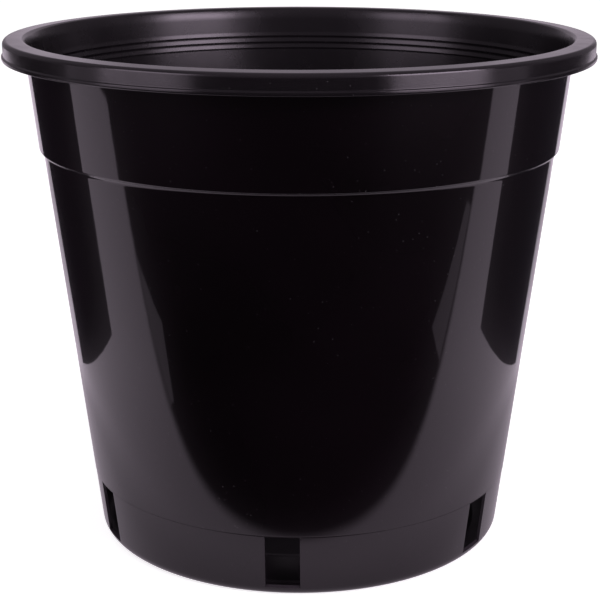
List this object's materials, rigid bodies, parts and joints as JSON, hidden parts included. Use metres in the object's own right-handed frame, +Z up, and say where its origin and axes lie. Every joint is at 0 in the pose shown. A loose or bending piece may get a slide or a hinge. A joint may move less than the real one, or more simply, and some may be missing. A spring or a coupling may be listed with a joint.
{
  "type": "florist bucket",
  "caption": "Round tapered black plastic florist bucket-pot with a flanged rim, stepped collar, raised floor and drainage slots at the foot.",
  "frame": {"origin": "on the ground at the centre of the foot ring", "axes": "+Z up along the axis of revolution; one drainage slot faces -Y"},
  "size_m": [0.28, 0.28, 0.2444],
  "materials": {
    "gloss_black": "high-gloss black polypropylene outside, satin inside",
    "satin_black": "satin black polypropylene"
  },
  "bodies": {
    "root": {"foot_ring": "gloss_black", "raised_floor": "satin_black", "slotted_band": "gloss_black", "side_wall": "gloss_black", "collar": "gloss_black", "rim_flange": "satin_black", "rim_skirt": "satin_black"}
  },
  "joints": []
}
